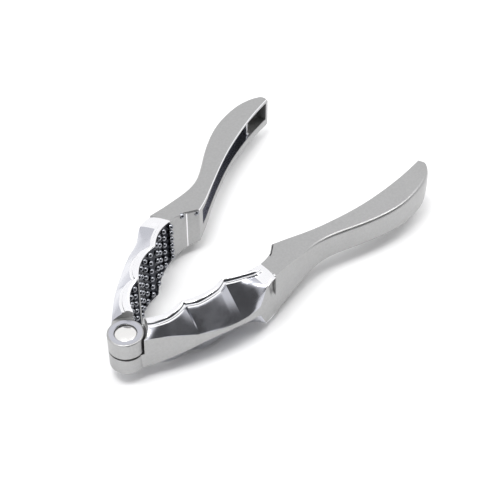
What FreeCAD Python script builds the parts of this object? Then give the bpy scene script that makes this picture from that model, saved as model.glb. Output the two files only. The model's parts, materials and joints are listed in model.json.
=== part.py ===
"""Cast two-lever nutcracker: two mirrored levers riveted together at one end.

Millimetres, +Z up.  Each lever is drawn in its own closed frame: the hinge axis is Z, +X runs
from the hinge to the handle tip, y is the distance off the plane in which the levers meet, and
z = 0 is the plane that the casting is symmetric about.  The body's Placement then swings the
lever out to the half-open rest pose and lifts it, so that the jaw rims stand on Z = 0.
"""
import FreeCAD, Part
import math
import os

import Sketcher
from FreeCAD import Placement, Rotation, Vector

os.makedirs("parts", exist_ok=True)
doc = FreeCAD.newDocument("nutcracker")

# ---------------------------------------------------------------- driving dimensions
SIZES = {
    # the object as a whole
    "half_opening": 14.2,        # degrees that each lever stands off the meeting plane at rest
    "hinge_offset": 76.6,        # from the middle of the footprint back to the hinge axis
    "rim_height": 14.5,          # jaw rims above and below the mid-plane
    # hinge
    "knuckle_radius": 7.3,
    "knuckle_height": 8.15,      # each knuckle fills one half of the hinge
    "knuckle_gap": 0.1,          # from the mid-plane to a knuckle's inner face
    "relief_radius": 7.75,       # hollow that clears the other lever's knuckle
    "neck_x": 8.8,               # where the raised jaw rim begins
    "pin_radius": 2.5,
    "pin_clearance": 0.05,
    "head_radius": 4.3,
    "seat_radius": 4.55,         # recess around the pin head
    "seat_depth": 1.3,
    "head_edge": 0.6,            # straight edge of the pin head below its dome
    "head_dome": 0.75,
    "tail_radius": 3.6,          # flattened lower end of the pin
    "tail_depth": 1.2,
    # jaw
    "root_x": 9.6, "root_y": 1.2,
    "cusp_a_x": 24.0, "cusp_a_y": 4.9,
    "cusp_b_x": 43.2, "cusp_b_y": 6.2,
    "crease_x": 71.1, "crease_y": 4.3,
    "corner_x": 75.7, "corner_y": 0.15,
    "cup_a_depth": 2.2, "cup_b_depth": 2.25, "cup_c_depth": 3.5,
    "jaw_widest_x": 47.0, "jaw_width": 20.4,
    "step_x": 62.0, "step_y": 17.6,
    # handle
    "waist_x": 97.0, "waist_height": 6.4,
    "tip_x": 166.4, "tip_height": 7.9,
    "grip_bow": 3.3,
    "web_round": 2.0,            # rounded edges along the outer face of the grip
    "handle_wall": 2.1,
    "channel_height": 4.25,      # half height of the open channel
    "channel_shift": 0.95,       # its middle lies this far off the mid-plane, to the knuckle's side
    "channel_start": 80.0, "channel_end": 163.6,
    "rib_x": 149.0, "rib_width": 1.6,
}
sheet = doc.addObject("Spreadsheet::Sheet", "sizes")
for row, (alias, value) in enumerate(SIZES.items(), start=1):
    sheet.set("A%d" % row, alias)
    sheet.set("B%d" % row, str(value))
    sheet.setAlias("B%d" % row, alias)
doc.recompute()


def cell(alias):
    """Value of one driving dimension."""
    return float(sheet.get(alias))


# ---------------------------------------------------------------- sketches
def sketch_on(body, name, role, offset="0"):
    """A sketch on one of the body's own origin planes, or parallel to it at an offset."""
    sketch = body.newObject("Sketcher::SketchObject", name)
    plane = next(f for f in body.Origin.OriginFeatures if f.Role == role)
    sketch.AttachmentSupport = (plane, [""])
    sketch.MapMode = "FlatFace"
    sketch.setExpression("AttachmentOffset.Base.z", offset)
    return sketch


def bowed(start, end, bow, flip):
    """Arc from start to end whose middle stands bow above the chord, or below it for flip=-1."""
    if bow == 0:
        return Part.LineSegment(start, end)
    chord = end - start
    above = Vector(-chord.y, chord.x, 0).normalize()
    if above.y * flip < 0:
        above = -above
    return Part.Arc(start, (start + end) * 0.5 + above * bow, end)


def end_at(sketch, edge, point):
    """Which end of a sketch edge, 1 or 2, lies at a point."""
    return 1 if sketch.getPoint(edge, 1).distanceToPoint(point) < 1e-6 else 2


def pin_down(sketch, edge, end, kind, value, flip):
    """Fix one coordinate of a corner; a name is tied to the spreadsheet, a number is set."""
    number = flip * (cell(value) if isinstance(value, str) else value)
    index = sketch.addConstraint(Sketcher.Constraint(kind, -1, 1, edge, end, number))
    if isinstance(value, str):
        sketch.setExpression("Constraints[%d]" % index, "%d * sizes.%s" % (flip, value))


def draw_loop(sketch, corners, flip=1):
    """Closed outline.  A corner is (x, y, bow of the edge that leaves it); flip=-1 mirrors y."""
    def number(value):
        return cell(value) if isinstance(value, str) else value

    points = [Vector(number(x), flip * number(y), 0) for x, y, _ in corners]
    first = sketch.GeometryCount
    for index, (_, _, bow) in enumerate(corners):
        following = points[(index + 1) % len(points)]
        sketch.addGeometry(bowed(points[index], following, number(bow), flip), False)
    for index, (x, y, _) in enumerate(corners):
        edge = first + index
        before = first + (index - 1) % len(corners)
        end = end_at(sketch, edge, points[index])
        end_before = end_at(sketch, before, points[index])
        sketch.addConstraint(Sketcher.Constraint("Coincident", before, end_before, edge, end))
        pin_down(sketch, edge, end, "DistanceX", x, 1)
        pin_down(sketch, edge, end, "DistanceY", y, flip)


def draw_circle(sketch, radius):
    """Circle on the hinge axis; radius is an expression on the spreadsheet."""
    sketch.addGeometry(Part.Circle(Vector(0, 0, 0), Vector(0, 0, 1), 1), False)
    sketch.addConstraint(Sketcher.Constraint("Coincident", 0, 3, -1, 1))
    index = sketch.addConstraint(Sketcher.Constraint("Radius", 0, 1))
    sketch.setExpression("Constraints[%d]" % index, radius)


def add(body, kind, name, sketch, length=None, **settings):
    """One feature made from a sketch; length is an expression, or nothing for through all."""
    feature = body.newObject("PartDesign::" + kind, name)
    feature.Profile = sketch
    if length:
        feature.setExpression("Length", length)
    elif kind == "Pocket":
        feature.Type = "ThroughAll"
    for prop, value in settings.items():
        setattr(feature, prop, value)
    before = body.Shape.Volume if body.Shape.Solids else 0
    doc.recompute()
    if abs(body.Shape.Volume - before) < 1:
        raise ValueError("%s changes nothing on %s" % (name, body.Name))
    return feature


# ---------------------------------------------------------------- levers
def lever(name, side, up):
    """One cast lever.  side is +1 or -1, the side of the meeting plane that it stands on; up is
    +1 where its knuckle is the upper one and -1 where it is the lower one."""
    body = doc.addObject("PartDesign::Body", name)
    body.Label = name

    # plan: outer edge from the knuckle to the tip, then back along handle, pad and three cups
    plan = sketch_on(body, name + "_plan", "XY_Plane")
    draw_loop(plan, [
        (0, 0, 0),
        (1.3, 7.1, 0),
        (19, 14.4, 1.0),
        ("jaw_widest_x", "jaw_width", 0.6),
        ("step_x", "step_y", 0),
        (86, 12.1, -1.7),
        (112, 13.7, "grip_bow"),
        (152, 14.9, 1.1),
        (164.0, 8.2, 0.8),
        ("tip_x", 3.6, 0.3),
        (165.2, 0.9, 3.9),
        ("corner_x", "corner_y", 0),
        ("crease_x", "crease_y", "cup_c_depth"),
        ("cusp_b_x", "cusp_b_y", "cup_b_depth"),
        ("cusp_a_x", "cusp_a_y", "cup_a_depth"),
        ("root_x", "root_y", 0),
        (8.0, 0.3, 0),
    ], flip=side)
    add(body, "Pad", name + "_blank", plan, "2 * sizes.rim_height", Midplane=True)

    # side view: low at the knuckle, arched over the cups, slim at the waist
    above = sketch_on(body, name + "_above", "XZ_Plane")
    draw_loop(above, [
        (-5, "knuckle_height", 0),
        ("neck_x", "knuckle_height", 0),
        ("neck_x", 10.7, 0.9),
        (29.5, "rim_height", 0),
        (40.5, "rim_height", 1.0),
        (66, 10.8, -0.45),
        ("waist_x", "waist_height", -0.7),
        (170, "tip_height", 0),
        (170, 16, 0),
        (-5, 16, 0),
    ])
    arch = add(body, "Pocket", name + "_arch", above, Midplane=True)

    # each station is (x, shoulder y and z beside the rim, y and z of the band's edge)
    stations = [
        (7.0, 8.3, 10.5, 9.0, 7.4),
        (15.0, 9.4, 12.0, 12.8, 5.4),
        (24.0, 9.2, 12.6, 16.5, 2.9),
        (34.0, 11.4, 13.4, 18.8, 1.6),
        (43.0, 11.0, 13.0, 20.1, 1.4),
        (52.0, 13.0, 12.6, 20.1, 3.0),
        (61.0, 16.0, 11.4, 18.0, 8.4),
    ]
    profiles = []
    for index, (x, shoulder_y, shoulder_z, band_y, band_z) in enumerate(stations):
        profile = sketch_on(body, "%s_slope_%d" % (name, index), "YZ_Plane", str(x))
        draw_loop(profile, [
            (side * shoulder_y, shoulder_z, 0),
            (side * (band_y + 0.6), band_z - 0.6, 0),
            (side * 24, band_z - 0.6, 0),
            (side * 24, 16, 0),
            (side * shoulder_y, 16, 0),
        ])
        profiles.append(profile)
    slope = add(body, "SubtractiveLoft", name + "_slope", profiles[0], Sections=profiles[1:], Ruled=True)

    under = body.newObject("PartDesign::Mirrored", name + "_underside")
    under.Originals = [arch, slope]
    under.MirrorPlane = (plan, ["N_Axis"])
    under.MirrorPlane = (next(f for f in body.Origin.OriginFeatures if f.Role == "XY_Plane"), [""])
    body.Tip = under
    doc.recompute()

    # the long edges of the grip's outer face are rounded from the waist to the tip
    outer_edges = []
    for index, edge in enumerate(body.Shape.Edges, start=1):
        middle = edge.valueAt((edge.FirstParameter + edge.LastParameter) / 2)
        beyond_waist = min(v.Point.x for v in edge.Vertexes) > 85
        outside = side * middle.y > 7.5 or middle.x > 164
        if beyond_waist and outside and abs(middle.z) > 5:
            outer_edges.append("Edge%d" % index)
    rounded = body.newObject("PartDesign::Fillet", name + "_rounded")
    rounded.Base = (under, outer_edges)
    rounded.setExpression("Radius", "sizes.web_round")
    doc.recompute()

    # open channel along the inside of the handle, with one cross rib left standing
    channel = sketch_on(body, name + "_channel", "XY_Plane", "%d * sizes.channel_shift" % up)
    wall = cell("handle_wall")
    rib_start = cell("rib_x") - cell("rib_width") / 2
    rib_end = cell("rib_x") + cell("rib_width") / 2
    draw_loop(channel, [
        ("channel_start", -3, 0),
        (rib_start, -3, 0),
        (rib_start, 15.9 - wall, 3.1),
        (112, 13.7 - wall, -1.7),
        (86, 12.1 - wall, 0),
        ("channel_start", 13.4 - wall, 0),
    ], flip=side)
    draw_loop(channel, [
        (rib_end, -3, 0),
        ("channel_end", -3, 0),
        ("channel_end", 5.6, 1.6),
        (rib_end, 15.4 - wall, 0),
    ], flip=side)
    add(body, "Pocket", name + "_hollow", channel, "2 * sizes.channel_height", Midplane=True)

    # hinge: room for the other knuckle, then this lever's own knuckle and its holes
    relief = sketch_on(body, name + "_relief", "XY_Plane", "%d * sizes.knuckle_gap" % up)
    draw_circle(relief, "sizes.relief_radius")
    add(body, "Pocket", name + "_clear", relief, Reversed=up < 0)
    disc = sketch_on(body, name + "_disc", "XY_Plane", "%d * sizes.knuckle_gap" % up)
    draw_circle(disc, "sizes.knuckle_radius")
    add(body, "Pad", name + "_knuckle", disc, "sizes.knuckle_height - sizes.knuckle_gap",
        Reversed=up < 0)
    bore = sketch_on(body, name + "_bore", "XY_Plane")
    draw_circle(bore, "sizes.pin_radius" + (" + sizes.pin_clearance" if up > 0 else ""))
    add(body, "Pocket", name + "_pinhole", bore, Midplane=True)
    seat = sketch_on(body, name + "_seat", "XY_Plane", "%d * sizes.knuckle_height" % up)
    draw_circle(seat, "sizes.seat_radius" if up > 0 else "sizes.tail_radius")
    add(body, "Pocket", name + "_recess", seat,
        "sizes.seat_depth" if up > 0 else "sizes.tail_depth", Reversed=up < 0)
    return body


# ---------------------------------------------------------------- hinge pin
def hinge_pin():
    """Steel rivet: domed head in the upper recess, lower end spread in the lower recess."""
    body = doc.addObject("PartDesign::Body", "hinge_pin")
    body.Label = "hinge_pin"
    profile = sketch_on(body, "pin_profile", "XZ_Plane")
    bottom = -cell("knuckle_height")
    tail_top = bottom + cell("tail_depth")
    head_base = cell("knuckle_height") - cell("seat_depth") + cell("pin_clearance")
    head_edge = head_base + cell("head_edge")
    apex = head_edge + cell("head_dome")
    # the dome is part of a sphere centred on the axis, so its half arc bows by this much
    half_chord = math.hypot(cell("head_radius"), cell("head_dome")) / 2
    dome_radius = 2 * half_chord ** 2 / cell("head_dome")
    dome_bow = dome_radius - math.sqrt(dome_radius ** 2 - half_chord ** 2)
    draw_loop(profile, [
        (0, bottom, 0),
        ("tail_radius", bottom, 0),
        ("tail_radius", tail_top, 0),
        ("pin_radius", tail_top, 0),
        ("pin_radius", head_base, 0),
        ("head_radius", head_base, 0),
        ("head_radius", head_edge, dome_bow),
        (0, apex, 0),
    ])
    turned = body.newObject("PartDesign::Revolution", "pin_turned")
    turned.Profile = profile
    turned.ReferenceAxis = (profile, ["V_Axis"])
    doc.recompute()
    return body


# ---------------------------------------------------------------- assembly
left = lever("left_lever", side=1, up=1)
right = lever("right_lever", side=-1, up=-1)
pin = hinge_pin()
hinge = "vector(-sizes.hinge_offset; 0; sizes.rim_height)"
for body, turn in ((left, "sizes.half_opening"), (right, "-sizes.half_opening"), (pin, "0")):
    body.setExpression("Placement.Base", hinge)
    body.setExpression("Placement.Rotation.Angle", turn)
doc.recompute()

for item in doc.Objects:
    if "Invalid" in item.State or "Error" in item.State:
        raise ValueError("%s failed: %s" % (item.Name, item.State))
whole = FreeCAD.BoundBox()
for body in (left, right, pin):
    if body.Shape.isNull() or not body.Shape.isValid() or len(body.Shape.Solids) != 1:
        raise ValueError("%s is not one valid solid" % body.Name)
    whole.add(body.Shape.BoundBox)
    body.Shape.exportStep("parts/%s.step" % body.Label)
    print(body.Label, "%.2f cm3" % (body.Shape.Volume / 1000))
print("box", whole)
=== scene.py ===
import json
import math

import bmesh
import bpy
import numpy as np
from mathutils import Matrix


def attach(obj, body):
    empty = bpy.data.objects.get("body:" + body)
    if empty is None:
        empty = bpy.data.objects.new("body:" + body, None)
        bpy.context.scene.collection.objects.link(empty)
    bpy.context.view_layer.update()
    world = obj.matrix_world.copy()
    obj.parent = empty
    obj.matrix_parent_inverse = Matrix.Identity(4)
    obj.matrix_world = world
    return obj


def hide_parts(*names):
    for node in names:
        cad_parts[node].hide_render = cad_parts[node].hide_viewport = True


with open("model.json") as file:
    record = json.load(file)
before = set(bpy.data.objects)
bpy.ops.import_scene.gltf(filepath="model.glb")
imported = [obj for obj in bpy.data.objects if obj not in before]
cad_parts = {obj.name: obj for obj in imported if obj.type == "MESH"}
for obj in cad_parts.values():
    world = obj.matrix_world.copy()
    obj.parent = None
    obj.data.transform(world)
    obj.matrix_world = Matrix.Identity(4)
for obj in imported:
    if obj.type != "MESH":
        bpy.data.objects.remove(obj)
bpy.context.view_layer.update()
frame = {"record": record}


# ------------------------------------------------------------------ cast levers
# Each lever is one zinc die casting, plated with chrome: a jaw with three cups, an end pad and a
# hollow grip.  It is blasted satin all over but for the jaw's sloping sides and rims, which are
# buffed, the hollow up to its rib, which the blasting misses, and the cups, which stay as cast.
# The rims, edges and the far end of the sloping sides are coloured lighter as painted highlight,
# and the cups, a groove and the foot of the rim darker as painted shade.

# Sizes are millimetres in the lever's own closed frame: +x from the hinge axis to the tip, y off
# the plane in which the two levers meet, z = 0 half way up.
MM = 0.001
JOINT = frame["record"]["behaviour"]["joints"][0]
HINGE = np.array(JOINT["pos_m"]) / MM
HALF_OPENING = math.radians(-JOINT["range_deg"][0] / 2)      # the levers close at the low limit
SATIN, BUFFED, BRIGHT, CAST_SHADE = range(4)                       # the casting's finishes; the bright one also paints highlights, the dark last one paints shade


def linear(code):
    """sRGB hex colour as linear red, green, blue and alpha."""
    parts = [int(code[i:i + 2], 16) / 255 for i in (1, 3, 5)]
    return [p / 12.92 if p <= 0.04045 else ((p + 0.055) / 1.055)**2.4 for p in parts] + [1.0]


def node(owner, kind, settings=None, links=None):
    """Adds a node; settings go to its properties or input values, links come from sockets."""
    made = owner.node_tree.nodes.new(kind)
    for key, value in (settings or {}).items():
        if key in made.inputs:
            made.inputs[key].default_value = value
        else:
            setattr(made, key, value)
    for key, source in (links or {}).items():
        owner.node_tree.links.new(source, made.inputs[key])
    return made


def metal(name, colour):
    """New metal material and its shader; metals keep the default index of refraction."""
    material = bpy.data.materials.new(name)
    material.use_nodes = True
    shader = material.node_tree.nodes["Principled BSDF"]
    shader.inputs["Metallic"].default_value = 1.0
    shader.inputs["Base Color"].default_value = linear(colour)
    return material, shader


# Satin chrome over a blasted casting: a soft grey sheen with a fine pebbled grain, a faint
# mottling and slow clouds 9 mm across.  The real grain is about 0.1 mm; grain and mottling are
# drawn coarser, at 0.4 and 1 mm, so that they show.
satin, shader = metal("satin_chrome_on_blasted_zinc", "#A9A9A9")
place = node(satin, "ShaderNodeTexCoord").outputs["Object"]
grain = node(satin, "ShaderNodeTexNoise",
             {"Scale": 1 / (0.4 * MM), "Detail": 3.0, "Roughness": 0.6}, {"Vector": place})
pebbles = node(satin, "ShaderNodeBump", {"Strength": 0.9, "Distance": 0.06 * MM},
               {"Height": grain.outputs["Fac"]})
cloud = node(satin, "ShaderNodeTexNoise", {"Scale": 1 / (9 * MM), "Detail": 3.0},
             {"Vector": place})
sheen = node(satin, "ShaderNodeMapRange",
             {"From Min": 0.3, "From Max": 0.7, "To Min": 0.33, "To Max": 0.41},
             {"Value": cloud.outputs["Fac"]})
mottles = node(satin, "ShaderNodeTexNoise",
               {"Scale": 1 / (1 * MM), "Detail": 3.0, "Roughness": 0.7}, {"Vector": place})
spread = node(satin, "ShaderNodeMapRange", {"From Min": 0.35, "From Max": 0.65},
              {"Value": mottles.outputs["Fac"]})
plating = node(satin, "ShaderNodeMixRGB",
               {"Color1": linear("#A6A6A6"), "Color2": linear("#AEAEAE")},
               {"Fac": spread.outputs["Result"]})
satin.node_tree.links.new(plating.outputs["Color"], shader.inputs["Base Color"])
satin.node_tree.links.new(sheen.outputs["Result"], shader.inputs["Roughness"])
satin.node_tree.links.new(pebbles.outputs["Normal"], shader.inputs["Normal"])

# Chrome over buffed zinc: a dark clear mirror with a faint haze of buffing lines that run along
# the object.  The real lines are about 0.3 mm apart; they are drawn coarser, at 1.6 mm.
buffed, shader = metal("chrome_on_buffed_zinc", "#BBBCC3")
place = node(buffed, "ShaderNodeTexCoord").outputs["Object"]
along = node(buffed, "ShaderNodeMapping", {"Scale": (0.06, 1.0, 1.0)}, {"Vector": place})
lines = node(buffed, "ShaderNodeTexNoise", {"Scale": 1 / (1.6 * MM), "Detail": 1.0},
             {"Vector": along.outputs["Vector"]})
haze = node(buffed, "ShaderNodeMapRange",
            {"From Min": 0.3, "From Max": 0.7, "To Min": 0.22, "To Max": 0.26},
            {"Value": lines.outputs["Fac"]})
buffed.node_tree.links.new(haze.outputs["Result"], shader.inputs["Roughness"])

# Bright chrome of the rims, ledges and edges: buffed most, so the clearest mirror, with rubbed
# patches about 3 mm across that blur it a little.  Its colour is lighter than the buffed
# chrome's, and that extra lightness is a painted highlight.
bright, shader = metal("bright_chrome_painted_highlight", "#EEEEF0")
place = node(bright, "ShaderNodeTexCoord").outputs["Object"]
rubbed = node(bright, "ShaderNodeTexNoise", {"Scale": 1 / (3 * MM), "Detail": 2.0},
              {"Vector": place})
haze = node(bright, "ShaderNodeMapRange",
            {"From Min": 0.3, "From Max": 0.7, "To Min": 0.1, "To Max": 0.18},
            {"Value": rubbed.outputs["Fac"]})
bright.node_tree.links.new(haze.outputs["Result"], shader.inputs["Roughness"])

# As-cast skin in the cups: half glossy, with the ripple of the cast metal, about 1.2 mm from
# crest to crest.  Its dark colour is painted shade of the sunk cups, and the same dark finish
# paints the shade in the groove and at the foot of the rim.
cast, shader = metal("cast_skin_with_painted_shade", "#303239")
place = node(cast, "ShaderNodeTexCoord").outputs["Object"]
ripple = node(cast, "ShaderNodeTexNoise", {"Scale": 1 / (1.2 * MM), "Detail": 3.0},
              {"Vector": place})
sheen = node(cast, "ShaderNodeMapRange",
             {"From Min": 0.3, "From Max": 0.7, "To Min": 0.28, "To Max": 0.42},
             {"Value": ripple.outputs["Fac"]})
skin = node(cast, "ShaderNodeBump", {"Strength": 0.4, "Distance": 0.1 * MM},
            {"Height": ripple.outputs["Fac"]})
cast.node_tree.links.new(sheen.outputs["Result"], shader.inputs["Roughness"])
cast.node_tree.links.new(skin.outputs["Normal"], shader.inputs["Normal"])

FINISHES = (satin, buffed, bright, cast)            # in the order of their numbers


# Outlines.  The outer edge is the middle of the outer face; the inner edge is three cup arcs,
# the straight pad and the long hollow of the grip.
CUSPS = [(9.6, 1.2), (24.0, 4.9), (43.2, 6.2), (71.1, 4.3), (75.7, 0.2)]
CUP_BOWS = [2.2, 2.25, 3.5, 0.0]
GRIP_HOLLOW = [(75.7, 0.2), (84, 0.8), (92, 1.9), (100, 2.95), (110, 4.0), (120, 4.7), (130, 4.8),
               (140, 4.35), (153, 3.0), (165.2, 0.9)]
OUTER_EDGE = [(1.3, 7.0), (10, 10.6), (19, 14.3), (28, 17.1), (38, 19.4), (47, 20.3), (55, 19.6),
              (62, 17.7), (70, 15.5), (80, 13.2), (90, 11.5), (98, 11.3), (106, 12.6),
              (116, 15.0), (126, 16.8), (135, 17.5), (143, 16.9), (150, 15.4)]
TIP_EDGE = [(150, 15.4), (155.5, 13.6), (160.5, 10.9), (164.2, 7.8), (165.95, 4.9), (166.15, 2.7),
            (165.3, 1.1)]
TOP_EDGE = [(6, 10.2), (9, 10.9), (16, 12.7), (24, 13.7), (30, 14.33), (40, 14.33), (50, 13.7),
            (60, 12.0), (66, 10.8), (72, 9.6), (79, 8.4), (88, 7.2), (98, 6.4), (112, 6.2),
            (130, 6.45), (150, 7.2), (166, 7.8)]
BAND_HEIGHT = [(1, 7.6), (10, 6.6), (16, 5.1), (22, 3.4), (28, 2.1), (34, 1.45), (40, 1.35),
               (46, 1.7), (52, 2.3)]
TIP_INNER_X = 165.1      # inner corner of the tip
TIP_ROUND_X = 163.9      # from here the end of the grip is rounded off in height
TIP_DROP = 1.8           # by this much at its inner corner
WEB_HEIGHT = 10.3        # edge of the outer face where the jaw runs out into the grip
WEB_X = (51.5, 56.8)     # the band widens to that height between these
RIM_WIDTH = [(8, 2.6), (12, 2.8), (16, 2.7), (21, 1.9), (24, 1.3), (24.01, 2.0), (28, 2.7),
             (34, 2.2), (39, 2.0), (43.2, 1.2), (43.21, 1.1), (51, 1.2), (55, 1.6), (61, 2.6)]
LEDGE_WIDTH = 1.2
LEDGE_END = (56, 60.5)   # ledge and shoulder come up flush with the rim between these
SHOULDER_DROP = 1.7      # from the rim's top down to where the sloping side begins
LEDGE_DROP = 0.9
CUP_DEPTH = 0.9          # the cups are sunk this far behind their rims
CUP_BRIM = 1.7           # from the rim's top down to the sunk part
CUP_END = (58, 64)       # the last cup's floor comes up to its far wall between these
DENT_X = 58.9            # three-cornered dent between the last cup's side and the grip
DENT_DEPTH = 1.1
DENT_LEAN = 0.29         # its near edge leans back this much for each millimetre up
GROOVE_X = (69.3, 76.5)  # fine groove along the upper edge of the end pad
GROOVE_IN = 0.8          # this far behind the edge
GROOVE_DEPTH = 0.5
STEP_X = 62.4            # the grip begins
PAD_END = 80.0
RIB_X = 149.0
RIB_WIDTH = 1.6
RIB_TOP = 2.2            # the rib stands this far behind the inner edge
HOLLOW_END = 163.2
GRIP_WALL = 2.0
HOLLOW_HEIGHT = 4.25
HOLLOW_SHIFT = 0.95      # the hollow lies this much nearer to the face with the knuckle
FIRST_X = 7.0            # first section, inside the knuckle
FIRST_LEAN = 5.7         # its outer point lies this much nearer to the hinge
UPRIGHT_X = 24           # from here on the sections stand straight across
FAN_X = 150              # from here on they fan out round the tip
PAINTED_HIGHLIGHT_X = 56          # the sloping side is buffed up to here; beyond, its turned-up end is bright chrome, a painted highlight


def spline(x, knots):
    """Smooth curve through the knots: between two knots it is the cubic whose bending is
    continuous at every knot and zero at both ends (a natural cubic spline)."""
    kx, ky = np.array(knots, float).T
    step = np.diff(kx)
    rise = np.diff(ky) / step
    count = len(kx)
    system = np.eye(count)
    inside = np.arange(1, count - 1)
    system[inside, inside - 1] = step[:-1]
    system[inside, inside] = 2 * (step[:-1] + step[1:])
    system[inside, inside + 1] = step[1:]
    target = np.zeros(count)
    target[1:-1] = 6 * np.diff(rise)
    bend = np.linalg.solve(system, target)
    k = np.clip(np.searchsorted(kx, x) - 1, 0, count - 2)
    a = (kx[k + 1] - x) / step[k]
    b = (x - kx[k]) / step[k]
    curve = a * ky[k] + b * ky[k + 1]
    return curve + ((a**3 - a) * bend[k] + (b**3 - b) * bend[k + 1]) * step[k]**2 / 6


def arc(x, start, end, bow):
    """Height over x of the circular arc from start to end that stands bow above the middle of
    their chord."""
    (x0, y0), (x1, y1) = start, end
    half = math.hypot(x1 - x0, y1 - y0) / 2
    if bow == 0:
        return y0 + (y1 - y0) * (x - x0) / (x1 - x0)
    radius = (half**2 + bow**2) / (2 * bow)
    centre_x = (x0 + x1) / 2 + (y1 - y0) / (2 * half) * (radius - bow)
    centre_y = (y0 + y1) / 2 - (x1 - x0) / (2 * half) * (radius - bow)
    return centre_y + np.sqrt(np.maximum(radius**2 - (x - centre_x)**2, 0))


def inner_edge(x):
    """Inner edge of the lever over x: level to the first cup, three cup arcs, the straight pad
    and the spline of the grip's hollow side."""
    y = np.interp(x, [8.0, CUSPS[0][0]], [0.35, CUSPS[0][1]])
    for start, end, bow in zip(CUSPS, CUSPS[1:], CUP_BOWS):
        y = np.where(x > start[0], arc(np.minimum(x, end[0]), start, end, bow), y)
    return np.where(x > CUSPS[-1][0], spline(np.maximum(x, CUSPS[-1][0]), GRIP_HOLLOW), y)


def ease(x, start, end):
    """0 before start, 1 after end and a smooth S between them."""
    t = np.clip((x - start) / (end - start), 0, 1)
    return t * t * (3 - 2 * t)


def stations():
    """Where the lever is cut into sections, as three arrays: x on the inner edge, and the outer
    point's x and y.  Sections fan out round the hinge and round the tip and stand straight
    across in between.  A sharp step has two sections at the same place."""
    steps = [STEP_X, PAD_END, RIB_X - RIB_WIDTH / 2, RIB_X + RIB_WIDTH / 2]
    straight = np.concatenate([np.arange(FIRST_X, PAD_END + 2, 0.4),
                               np.arange(PAD_END + 3, FAN_X, 1.2),
                               [x for x, _ in CUSPS[1:]], steps, steps])
    straight = np.sort(straight)
    outer_x = straight - FIRST_LEAN * (1 - ease(straight, FIRST_X, UPRIGHT_X))
    outer_y = spline(outer_x, OUTER_EDGE)
    turn = np.linspace(0, 1, 40)
    along = np.concatenate([[0], np.cumsum(np.hypot(*np.diff(np.array(TIP_EDGE), axis=0).T))])
    along /= along[-1]
    tip_x = spline(turn, [(a, p[0]) for a, p in zip(along, TIP_EDGE)])
    tip_y = spline(turn, [(a, p[1]) for a, p in zip(along, TIP_EDGE)])
    tip_inner = FAN_X + (TIP_INNER_X - FAN_X) * np.sin(turn * math.pi / 2)
    return (np.concatenate([straight, tip_inner]), np.concatenate([outer_x, tip_x]),
            np.concatenate([outer_y, tip_y]))


def cup_sinking(x):
    """How far the inner face is sunk behind the rim: full depth inside the cups, nothing on the
    ridge that parts the first two, fading out on the far wall of the last cup."""
    first, second = CUSPS[0][0], CUSPS[1][0]
    sunk = ease(x, first + 0.5, first + 1.5) * (1 - ease(x, second - 1.3, second - 0.4))
    return CUP_DEPTH * (sunk + ease(x, second + 0.4, second + 1.3) * (1 - ease(x, *CUP_END)))


def lobes(x):
    """How far the cup arcs stand out from the straight lines that join their cusps."""
    cusp_x, cusp_y = np.array(CUSPS).T
    return np.where(x < CUSPS[3][0], inner_edge(x) - np.interp(x, cusp_x, cusp_y), 0)


def outer_face(x, edge_in, edge_z, dented):
    """From the middle of the outer face up to its edge.  It is crowned: it falls back by the
    square of the way up.  The dent's depth is the product of two eased steps, one along the
    lever and one upwards."""
    t = np.linspace(0, 1, 13)[None, :-1]
    z = edge_z * t
    near_edge = DENT_X - DENT_LEAN * (z - 2)
    dent = ease(x - near_edge, 0, 2.4) * ease(z, 0.8, 3.2) * (x < STEP_X)
    return edge_in * t**2 + DENT_DEPTH * dent * dented, z


def sloping_side(edge_in, edge_z, shoulder_in, shoulder_z, fullness, swell):
    """Sloping side of the jaw, or rounded edge of the grip: a quadratic curve from the outer
    face's edge to the shoulder.  Its middle point moves from the chord (fullness 0) to the
    corner (fullness 1), and the cups' lobes swell it more and more towards the shoulder."""
    t = np.linspace(0, 1, 15)[None, :-1]
    middle_in = (edge_in + shoulder_in) / 2 + (edge_in - shoulder_in) / 2 * fullness
    middle_z = (edge_z + shoulder_z) / 2 + (shoulder_z - edge_z) / 2 * fullness
    across = (1 - t)**2 * edge_in + 2 * t * (1 - t) * middle_in + t**2 * shoulder_in
    return (across - swell * t,
            (1 - t)**2 * edge_z + 2 * t * (1 - t) * middle_z + t**2 * shoulder_z)


def ledge(shoulder_in, top, span, ledges):
    """Step up from the shoulder to the ledge, the ledge, and the step up to the rim, with
    straight lines between; where ledges is 0, all flush with the top."""
    return (shoulder_in + span * np.array([0, 0.08, 0.2, 0.8, 0.86, 1.0]),
            top - ledges * np.array([SHOULDER_DROP, LEDGE_DROP + 0.15, LEDGE_DROP, LEDGE_DROP,
                                     0.45, 0.2]))


def rim(x, width, top, start_in, bevel, ledges):
    """Rim of the jaw, crowned, or top of the grip, flat but for the groove at the end pad, up
    to the bevel at the inner edge."""
    across = start_in + (width - bevel - start_in) * np.linspace(0.2, 1, 5)
    groove_in = np.minimum(GROOVE_IN, width * 0.2) * np.array([1.3, 1.0, 0.7])
    grooved = np.concatenate([(start_in + width - groove_in[:, :1]) / 2, width - groove_in,
                              width - bevel], axis=1)
    across = np.where(x > STEP_X, grooved, across)
    start, end = GROOVE_X
    groove = GROOVE_DEPTH * ease(x, start, start + 0.6) * (1 - ease(x, end - 1, end))
    crown = ledges * np.array([0.05, 0, 0, 0.08, 0.3])
    return across, top - crown - groove * (x > STEP_X) * np.array([0, 0, 1, 0, 0])


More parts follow.
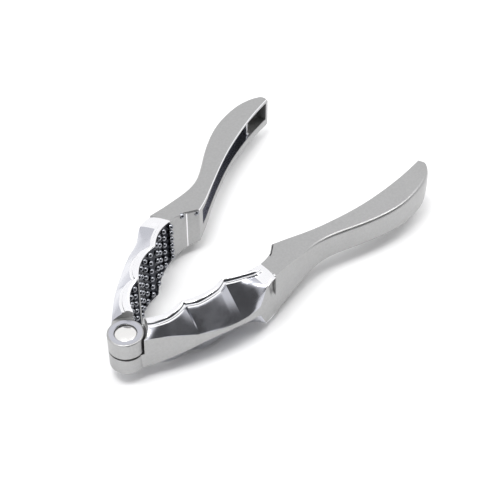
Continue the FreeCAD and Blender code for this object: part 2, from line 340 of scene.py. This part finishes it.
def inner_face(x, width, top, bevel, hollow_height):
    """Down the inner face: to the brim, in by the depth of the cup or hollow round a corner,
    and on to the middle of its floor."""
    in_hollow = (x > PAD_END) & (x < HOLLOW_END)
    in_rib = (x > RIB_X - RIB_WIDTH / 2) & (x < RIB_X + RIB_WIDTH / 2)
    depth = np.where(in_hollow, np.maximum(width - GRIP_WALL, 0), cup_sinking(x))
    depth = np.where(in_rib, np.minimum(depth, RIB_TOP), depth)
    brim = np.where(x > STEP_X, hollow_height + 0.5 * ease(x, 120, 160), top - CUP_BRIM)
    corner = np.minimum(0.8, depth * 0.3)
    floor = width - depth
    across = [width, width, width - np.minimum(0.3, depth), floor + corner, floor, floor, floor]
    z = [top - bevel, brim + 0.3, brim, brim, brim - corner, brim * 0.5, brim * 0.0]
    return np.concatenate(across, axis=1), np.concatenate(z, axis=1)


def half_section(inner_x, outer_x, outer_y, hollow_height, dented):
    """Upper half of every section, from the middle of the outer face over the top to the middle
    of the inner face.  Returns arrays (station, point): distance inwards from the outer edge and
    height; and for each point the part of the outline that starts there and its number in that
    part."""
    width = np.hypot(outer_x - inner_x, outer_y - inner_edge(inner_x))[:, None]
    second = np.zeros(len(inner_x), bool)
    second[1:] = np.diff(inner_x) < 1e-9
    x = inner_x[:, None] + np.where(second, 1e-6, -1e-6)[:, None]
    on_grip = x > STEP_X
    round_off = np.clip((inner_x - TIP_ROUND_X) / (TIP_INNER_X - TIP_ROUND_X), 0, 1)
    top = (spline(inner_x, TOP_EDGE) - TIP_DROP * (1 - np.sqrt(1 - round_off**2)))[:, None]
    ledges = (1 - ease(x, *LEDGE_END)) * ~on_grip
    swell = lobes(inner_x)[:, None] * ~on_grip

    # edge of the outer face: of the narrow band on the jaw, of the rounded corner on the grip
    band = spline(np.clip(outer_x, 1, 52), BAND_HEIGHT)[:, None]
    band = band + (WEB_HEIGHT - band) * ease(x, *WEB_X)
    grip_round = 0.6 + 1.7 * ease(x, 74, 98) + 0.7 * ease(x, 150, 164)
    edge_z = np.where(on_grip, top - grip_round, np.minimum(band, top - 1.0))
    edge_in = np.minimum(0.25, width / 24)

    # shoulder, where the sloping side or the grip's rounded corner ends
    rim_width = np.interp(inner_x, *np.array(RIM_WIDTH).T)[:, None]
    grip_inset = np.minimum(0.4 + 1.5 * ease(x, 74, 98) + 0.3 * ease(x, 150, 164), width / 3)
    shoulder_in = np.where(on_grip, grip_inset, width - rim_width - LEDGE_WIDTH - 0.3 + swell)
    shoulder_z = top - SHOULDER_DROP * ledges
    fullness = np.where(on_grip, 1.0, 0.8 * ease(x, 45, 57))

    span = np.where(on_grip, np.minimum(2.0, width * 0.3), LEDGE_WIDTH + 0.3)
    start_in = shoulder_in - swell + span
    bevel = np.minimum(0.35, width / 8)
    parts = [outer_face(x, edge_in, edge_z, dented),
             sloping_side(edge_in, edge_z, shoulder_in, shoulder_z, fullness, swell),
             ledge(shoulder_in - swell, top, span, ledges),
             rim(x, width, top, start_in, bevel, ledges),
             inner_face(x, width, top, bevel, hollow_height)]
    counts = [across.shape[1] for across, _ in parts]
    return (np.concatenate([across for across, _ in parts], axis=1),
            np.concatenate([z for _, z in parts], axis=1),
            np.repeat(np.arange(len(parts)), counts),
            np.concatenate([np.arange(count) for count in counts]))


def both_halves(values):
    """One value for each point of the upper half's outline, then the same for the lower half in
    the opposite order, so that there is one for each strip all the way round."""
    return np.concatenate([values[:-1], values[-2::-1]])


def lever_skin(up):
    """Closed skin of one lever in its closed frame: an upper and a lower half section make a
    loop, and the loops are joined station by station.  The hollow lies off the middle, towards
    the face that carries the knuckle.  Returns points, quads and a finish for each quad."""
    inner_x, outer_x, outer_y = stations()
    inner_y = inner_edge(inner_x)
    halves = []
    for sign in (1, -1):
        hollow = HOLLOW_HEIGHT + sign * up * HOLLOW_SHIFT
        across, height, part, step = half_section(inner_x, outer_x, outer_y, hollow, sign != up)
        share = across / np.hypot(outer_x - inner_x, outer_y - inner_y)[:, None]
        x = outer_x[:, None] + (inner_x - outer_x)[:, None] * share
        y = outer_y[:, None] + (inner_y - outer_y)[:, None] * share
        halves.append(np.stack([x, y, sign * height], axis=-1))
    loops = np.concatenate([halves[0], halves[1][:, -2:0:-1]], axis=1)
    rows, columns = loops.shape[:2]
    index = np.arange(rows * columns).reshape(rows, columns)
    around = np.roll(index, -1, axis=1)
    quads = np.stack([index[:-1], index[1:], around[1:], around[:-1]], axis=-1).reshape(-1, 4)

    # finish by part of the outline (0 outer face, 1 slope, 2 ledge, 3 rim or grip top, 4 inner
    # face) and by place along the lever; a later row goes over an earlier one.  Some rows paint
    # highlights and shade into the finish.
    slope, ledges, rims, inner = (both_halves(part) == number for number in (1, 2, 3, 4))
    step = both_halves(step)
    x = (inner_x[:-1] + inner_x[1:])[:, None] / 2
    jaw = x < STEP_X
    finish = np.full((rows - 1, columns), SATIN)
    for kind, where in ((BUFFED, jaw & slope & (x < PAINTED_HIGHLIGHT_X)),
                        # painted highlight on the turned-up end of the sloping side
                        (BRIGHT, jaw & slope & (x >= PAINTED_HIGHLIGHT_X)),
                        (BRIGHT, inner & (abs(x - CUSPS[3][0]) < 0.25)),      # painted highlight along the crease at the pad
                        (BRIGHT, jaw & (ledges | rims)),
                        (CAST_SHADE, ledges & (step == 3) & (x < 60)),              # painted shade at the foot of the rim
                        (CAST_SHADE, rims & (step > 0) & (step < 3) & (x > 69.5) & (x < 75.8)),   # painted shade in the groove
                        # cups: dark, as painted shade
                        (CAST_SHADE, inner & (cup_sinking(x) > 0.3)),
                        (BUFFED, inner & (step > 1) & (x > PAD_END) & (x < RIB_X)),
                        (BRIGHT, rims & (step == 4) & (x > CUSPS[4][0]))):    # painted highlight on the grip's inner edge
        finish[where] = kind
    return loops.reshape(-1, 3), quads.tolist(), finish.ravel()


def put(name, points, faces, finish=None, materials=()):
    """New object from points in millimetres in the row frame and faces; coincident points are
    merged, faces that collapse with them go, open ends are closed, and all faces are turned
    outwards."""
    mesh = bpy.data.meshes.new(name)
    mesh.from_pydata((points * MM).tolist(), [], faces)
    for material in materials:
        mesh.materials.append(material)
    if finish is not None:
        mesh.polygons.foreach_set("material_index", finish.astype(np.int32))
    work = bmesh.new()
    work.from_mesh(mesh)
    bmesh.ops.remove_doubles(work, verts=work.verts, dist=1e-7)
    bmesh.ops.dissolve_degenerate(work, edges=work.edges, dist=1e-7)
    bmesh.ops.holes_fill(work, edges=[e for e in work.edges if e.is_boundary], sides=0)
    bmesh.ops.recalc_face_normals(work, faces=work.faces)
    if work.calc_volume(signed=True) < 0:
        bmesh.ops.reverse_faces(work, faces=work.faces)
    work.to_mesh(mesh)
    work.free()
    piece = bpy.data.objects.new(name, mesh)
    bpy.context.scene.collection.objects.link(piece)
    return piece


def to_row(points, side):
    """Closed frame to row frame: mirrored for side -1, swung out by the half opening about the
    hinge and moved to it."""
    c, s = math.cos(side * HALF_OPENING), math.sin(side * HALF_OPENING)
    x, y, z = points[..., 0], side * points[..., 1], points[..., 2]
    return np.stack([c * x - s * y, s * x + c * y, z], axis=-1) + HINGE


def lathe(profile, turns=120, closed=False):
    """Profile of (radius, height) turned about the hinge axis: angle around, profile along.  An
    open profile starts and ends on the axis; a closed one is a ring."""
    radius, height = np.array(profile, float).T
    angle = np.arange(turns) * 2 * math.pi / turns
    points = np.stack([np.outer(radius, np.cos(angle)), np.outer(radius, np.sin(angle)),
                       np.outer(height, np.ones(turns))], axis=-1)
    index = np.arange(len(profile) * turns).reshape(-1, turns)
    if closed:
        index = np.concatenate([index, index[:1]])
    around = np.roll(index, -1, axis=1)
    quads = np.stack([index[:-1], around[:-1], around[1:], index[1:]], axis=-1).reshape(-1, 4)
    return points.reshape(-1, 3), quads.tolist()


def quarter(radius, height, edge, turn_from, turn_to):
    """Quarter-round corner of a lathe profile: centre at (radius, height), edge its radius."""
    angle = np.radians(np.linspace(turn_from, turn_to, 6))
    return [(radius + edge * math.cos(a), height + edge * math.sin(a)) for a in angle]


def combine(piece, profile, side, operation, closed=False):
    """Turns a profile about the hinge axis and joins it to the piece or cuts it away.  A closed
    profile is a knuckle; the end of its ring, three steps of the profile, is buffed."""
    shape, faces = lathe(profile, closed=closed)
    step = np.arange(len(faces)) * len(profile) // len(faces)
    finish = np.where(closed & (step >= 3) & (step <= 5), BUFFED, SATIN)
    other = put("turned", to_row(shape, side), faces, finish, FINISHES)
    change = piece.modifiers.new(operation, "BOOLEAN")
    change.operation = operation
    change.object = other
    change.solver = "MANIFOLD"
    made = bpy.data.meshes.new_from_object(piece.evaluated_get(
        bpy.context.evaluated_depsgraph_get()))
    piece.modifiers.clear()
    piece.data = made
    bpy.data.objects.remove(other)


KNUCKLE_RADIUS = 7.3
KNUCKLE_HEIGHT = 8.15
KNUCKLE_GAP = 0.1
KNUCKLE_EDGE = 0.6
SEAM_GAP = 0.35          # extra gap of the seam between the knuckles
SEAM_DEPTH = 0.9
RELIEF_RADIUS = 8.2      # hollow that clears the other lever's knuckle
NECK_RADIUS = 8.8        # the rims begin this far from the hinge axis
NECK_HEIGHT = 7.5
BEYOND = 20              # farther from the middle than any face of the lever
UPPER_BORE = 2.55
UPPER_SEAT = 4.55        # radius of the recess for the rivet's head
SEAT_DEPTH = 1.3
LOWER_BORE = 2.5
LOWER_SEAT = 3.62        # radius of the recess for the rivet's spread end
TAIL_DEPTH = 1.2
SHARP = math.radians(32)     # edges that turn by more than this are drawn sharp


def knuckle_profile(up):
    """Ring of one knuckle: bore, recess for the rivet's head or tail, flat face, rounded rim."""
    bore, seat, depth = UPPER_BORE, UPPER_SEAT, SEAT_DEPTH
    if up < 0:
        bore, seat, depth = LOWER_BORE, LOWER_SEAT, TAIL_DEPTH
    edge = KNUCKLE_EDGE
    seam = KNUCKLE_GAP + SEAM_GAP
    profile = [(bore, KNUCKLE_GAP), (bore, KNUCKLE_HEIGHT - depth),
               (seat, KNUCKLE_HEIGHT - depth), (seat, KNUCKLE_HEIGHT - 0.2),
               (seat + 0.2, KNUCKLE_HEIGHT), (seat + 0.35, KNUCKLE_HEIGHT),
               (KNUCKLE_RADIUS - edge - 0.15, KNUCKLE_HEIGHT)]
    profile += quarter(KNUCKLE_RADIUS - edge, KNUCKLE_HEIGHT - edge, edge, 90, 0)
    profile += [(KNUCKLE_RADIUS, seam + 0.15), (KNUCKLE_RADIUS - 0.15, seam),
                (KNUCKLE_RADIUS - SEAM_DEPTH, seam), (KNUCKLE_RADIUS - SEAM_DEPTH, KNUCKLE_GAP)]
    return [(radius, up * height) for radius, height in profile]


def cylinder(radius, low, high):
    """Profile of a plain cylinder."""
    return [(0, low), (radius, low), (radius, high), (0, high)]


def lever(name, side, up):
    """One lever: its skin, hollowed round the other lever's knuckle, joined to its own."""
    points, quads, finish = lever_skin(up)
    piece = put(name, to_row(points, side), quads, finish, FINISHES)
    low, high = sorted([-BEYOND * up, KNUCKLE_GAP * up])
    combine(piece, cylinder(RELIEF_RADIUS, low, high), side, "DIFFERENCE")
    combine(piece, cylinder(NECK_RADIUS, NECK_HEIGHT, BEYOND), side, "DIFFERENCE")
    combine(piece, cylinder(NECK_RADIUS, -BEYOND, -NECK_HEIGHT), side, "DIFFERENCE")
    combine(piece, knuckle_profile(up), side, "UNION", closed=True)
    piece.data.shade_smooth()
    piece.data.set_sharp_from_angle(angle=SHARP)
    return piece


left = lever("left_lever_casting", side=1, up=1)
right = lever("right_lever_casting", side=-1, up=-1)
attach(left, "left")
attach(right, "right")
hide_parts("left_lever")
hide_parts("right_lever")


# ------------------------------------------------------------------ grip studs
# Rows of small round-topped studs that stand on the sunk floor of each cup and bite into the
# shell.  They are cast in one with the lever, and the plating builds up on their tops.
STUD_RADIUS = 1.35
STUD_HEIGHT = 1.45
STUD_LIFT = 0.6          # widest circle above the floor of the cup
STUD_SIDES = 10
STUD_RINGS = np.radians([-25, 5, 35, 65])    # from below the widest circle to near the top
STUD_PITCH = 4.8         # along a row
STUD_ROWS = 6
STUD_MARGIN = 1.2        # bare ends of a cup
LAST_STUD_X = 65.5       # the last cup's studs stop here, short of its crease
PAD_BEADS = [(69.4, 9.1, 0.55), (75.2, 7.5, 0.95)]   # lone studs at the corners of the pad, on
                         # the knuckle's side: x, height, how deep they are sunk

# Chrome builds up thickest on points that stand out, so the tops of the studs are dark, clear
# mirrors with one small white glint each.  The faint pits are drawn coarse, at 0.8 mm.
stud_chrome, shader = metal("thick_chrome_on_stud_tops", "#9A9CA2")
place = node(stud_chrome, "ShaderNodeTexCoord").outputs["Object"]
pits = node(stud_chrome, "ShaderNodeTexNoise", {"Scale": 1 / (0.8 * MM), "Detail": 2.0},
            {"Vector": place})
haze = node(stud_chrome, "ShaderNodeMapRange",
            {"From Min": 0.3, "From Max": 0.7, "To Min": 0.06, "To Max": 0.14},
            {"Value": pits.outputs["Fac"]})
stud_chrome.node_tree.links.new(haze.outputs["Result"], shader.inputs["Roughness"])


def stud_places(up):
    """Middle of every stud's foot and the direction that it points, in the closed frame.  Along
    a row the studs are evenly spaced on the cup's arc; the rows share out the height that is
    left between the brims, so the top row follows the rim."""
    centres, directions = [], []
    for cup, (start, end) in enumerate(zip(CUSPS[:3], CUSPS[1:4])):
        far = end[0] if cup < 2 else LAST_STUD_X
        fine = np.linspace(start[0] + STUD_MARGIN, far - STUD_MARGIN, 400)
        edge = inner_edge(fine)
        length = np.concatenate([[0], np.cumsum(np.hypot(np.diff(fine), np.diff(edge)))])
        count = round(length[-1] / STUD_PITCH)
        along = (np.arange(count) + 0.5) * length[-1] / count
        x = np.interp(along, length, fine)
        y = np.interp(along, length, edge)
        tilt = np.interp(along, length, np.gradient(edge, fine))
        inwards = np.stack([tilt, -np.ones(count), np.zeros(count)], axis=1)
        inwards /= np.linalg.norm(inwards, axis=1)[:, None]
        room = spline(x, TOP_EDGE) - CUP_BRIM - STUD_RADIUS * 0.9
        for share in np.linspace(-1, 1, STUD_ROWS):
            foot = np.stack([x, y, share * room], axis=1)
            centres.append(foot - inwards * (cup_sinking(x) - STUD_LIFT)[:, None])
            directions.append(inwards)
    for x, height, sunk in PAD_BEADS:
        centres.append(np.array([[x, inner_edge(x) + sunk, up * height]]))
        directions.append(np.array([[0, -1.0, 0]]))
    return np.concatenate(centres), np.concatenate(directions)


def studs(name, side):
    """All studs of one lever in one mesh.  Each is the upper part of an ellipsoid: a ring of
    points at each of a few angles above and below its widest circle, and one point on top."""
    centres, outward = stud_places(side)
    turn = np.arange(STUD_SIDES) * 2 * math.pi / STUD_SIDES
    upwards = np.array([0, 0, 1.0])
    sideways = np.cross(upwards, outward)[:, None, None]
    circle = np.cos(turn)[:, None] * sideways + np.sin(turn)[:, None] * upwards
    rings = (STUD_RADIUS * np.cos(STUD_RINGS)[:, None, None] * circle +
             STUD_HEIGHT * np.sin(STUD_RINGS)[:, None, None] * outward[:, None, None])
    tops = outward[:, None] * STUD_HEIGHT
    points = np.concatenate([rings.reshape(len(centres), -1, 3), tops], axis=1) + centres[:, None]
    top = len(STUD_RINGS) * STUD_SIDES
    index = np.arange(top).reshape(-1, STUD_SIDES)
    around = np.roll(index, -1, axis=1)
    sides = np.stack([index[:-1], around[:-1], around[1:], index[1:]], axis=-1).reshape(-1, 4)
    caps = np.stack([index[-1], around[-1], np.full(STUD_SIDES, top)], axis=-1)
    first = (top + 1) * np.arange(len(centres))[:, None, None]
    faces = (sides + first).reshape(-1, 4).tolist() + (caps + first).reshape(-1, 3).tolist()
    piece = put(name, to_row(points.reshape(-1, 3), side), faces, materials=(stud_chrome,))
    piece.data.shade_smooth()
    return piece


for label, side in (("left", 1), ("right", -1)):
    piece = studs(label + "_grip_studs", side)
    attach(piece, label)


# ------------------------------------------------------------------ hinge rivet
# Turned steel rivet with a domed, polished head sunk in the upper knuckle; its lower end is
# spread into the recess of the lower knuckle and holds the levers together.
HEAD_RADIUS = 4.3
HEAD_EDGE = 0.6
HEAD_DOME = 0.75
SHANK_RADIUS = 2.5
TAIL_RADIUS = 3.6
HEAD_CLEARANCE = 0.05

# Turned steel, then polished: a nearly white mirror with faint rings round the axis.  The real
# turning marks are about 0.1 mm apart; they are drawn coarser, at 1.6 mm.  The wave texture
# repeats every tenth of pi at scale 1.
rivet_steel, shader = metal("turned_and_polished_steel", "#E6E5E3")
place = node(rivet_steel, "ShaderNodeTexCoord").outputs["Object"]
centred = node(rivet_steel, "ShaderNodeMapping",
               {"Location": (-HINGE[0] * MM, -HINGE[1] * MM, 0)}, {"Vector": place})
rings = node(rivet_steel, "ShaderNodeTexWave",
             {"wave_type": "RINGS", "rings_direction": "Z",
              "Scale": math.pi / 10 / (1.57 * MM), "Distortion": 0.4, "Detail": 2.0},
             {"Vector": centred.outputs["Vector"]})
turning = node(rivet_steel, "ShaderNodeBump", {"Strength": 0.12, "Distance": 0.02 * MM},
               {"Height": rings.outputs["Fac"]})
shader.inputs["Roughness"].default_value = 0.17
rivet_steel.node_tree.links.new(turning.outputs["Normal"], shader.inputs["Normal"])

# The head stands clear of its seat, and its top is part of a sphere centred on the axis.
head_base = KNUCKLE_HEIGHT - SEAT_DEPTH + HEAD_CLEARANCE
sphere = (HEAD_RADIUS**2 + HEAD_DOME**2) / (2 * HEAD_DOME)
dome_radius = np.linspace(HEAD_RADIUS - 0.1, 0, 14)
dome_height = head_base + HEAD_EDGE + HEAD_DOME - sphere + np.sqrt(sphere**2 - dome_radius**2)
profile = [(0, -KNUCKLE_HEIGHT), (TAIL_RADIUS - 0.3, -KNUCKLE_HEIGHT),
           (TAIL_RADIUS, -KNUCKLE_HEIGHT + 0.3), (TAIL_RADIUS, -KNUCKLE_HEIGHT + TAIL_DEPTH),
           (SHANK_RADIUS, -KNUCKLE_HEIGHT + TAIL_DEPTH), (SHANK_RADIUS, head_base),
           (HEAD_RADIUS - 0.15, head_base), (HEAD_RADIUS, head_base + 0.15),
           (HEAD_RADIUS, head_base + HEAD_EDGE - 0.1)] + list(zip(dome_radius, dome_height))
shape, faces = lathe(profile)
rivet = put("hinge_rivet", to_row(shape, 1), faces, materials=(rivet_steel,))
rivet.data.shade_smooth()
rivet.data.set_sharp_from_angle(angle=SHARP)
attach(rivet, "right")
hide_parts("hinge_pin")


# ------------------------------------------------------------------ floor, light and camera
# White paper laid flat in a light tent, with the nutcracker lying on its jaws' lower rims.
HALF_FLOOR = 3           # metres
floor_mesh = bpy.data.meshes.new("floor")
floor_mesh.from_pydata([(x * HALF_FLOOR, y * HALF_FLOOR, 0)
                        for x, y in ((-1, -1), (1, -1), (1, 1), (-1, 1))], [], [(0, 1, 2, 3)])
floor = bpy.data.objects.new("floor", floor_mesh)
bpy.context.scene.collection.objects.link(floor)
paper = bpy.data.materials.new("white_paper")
paper.use_nodes = True
paper.node_tree.nodes["Principled BSDF"].inputs["Base Color"].default_value = linear("#F4F4F4")
paper.node_tree.nodes["Principled BSDF"].inputs["Roughness"].default_value = 0.9
floor_mesh.materials.append(paper)

# The walls of the light tent: white all round, except for the dark open side where the camera
# stands, which the polished faces pick up.
DARK_SIDE = (-0.24, -0.84, 0.48)
world = bpy.data.worlds.new("studio")
world.use_nodes = True
direction = node(world, "ShaderNodeTexCoord").outputs["Generated"]
dark_side = node(world, "ShaderNodeVectorMath", {"operation": "DOT_PRODUCT"})
world.node_tree.links.new(direction, dark_side.inputs[0])
dark_side.inputs[1].default_value = DARK_SIDE
opening = node(world, "ShaderNodeMapRange",
               {"interpolation_type": "SMOOTHSTEP", "From Min": 0.55, "From Max": 0.88,
                "To Min": 1.13, "To Max": 0.09}, {"Value": dark_side.outputs["Value"]})
background = world.node_tree.nodes["Background"]
world.node_tree.links.new(opening.outputs["Result"], background.inputs["Strength"])
background.inputs["Color"].default_value = linear("#FBFBFC")
bpy.context.scene.world = world


def softbox(name, place, size, power):
    """Square area light at place, in metres, facing the middle of the object's footprint."""
    data = bpy.data.lights.new(name, "AREA")
    data.size = size
    data.energy = power
    lamp = bpy.data.objects.new(name, data)
    lamp.location = place
    x, y, z = place
    lamp.rotation_euler = (math.atan2(math.hypot(x, y), z), 0, math.atan2(-y, -x) - math.pi / 2)
    bpy.context.scene.collection.objects.link(lamp)


softbox("key_softbox", (-0.26, 0.05, 1.1), 0.4, 6)
softbox("edge_softbox", (0.42, -0.38, 1.06), 0.45, 3.5)

# The camera stands behind the hinge, on the right lever's side, and looks down at 43 degrees.
# Its place is in millimetres from the middle of the hinge.
CAMERA_FROM_HINGE = np.array([-222.9, -211.2, 334.2])
CAMERA_LOOK = np.array([0.6033, 0.4184, -0.6789])
camera_data = bpy.data.cameras.new("camera")
camera_data.sensor_width = 36
camera_data.lens = 84.27
camera_data.clip_start = 0.01
camera = bpy.data.objects.new("camera", camera_data)
camera.location = (HINGE + CAMERA_FROM_HINGE) * MM
camera.rotation_euler = (math.acos(-CAMERA_LOOK[2]), 0,
                         math.atan2(CAMERA_LOOK[1], CAMERA_LOOK[0]) - math.pi / 2)
bpy.context.scene.collection.objects.link(camera)
bpy.context.scene.camera = camera
bpy.context.scene.view_settings.view_transform = "Standard"
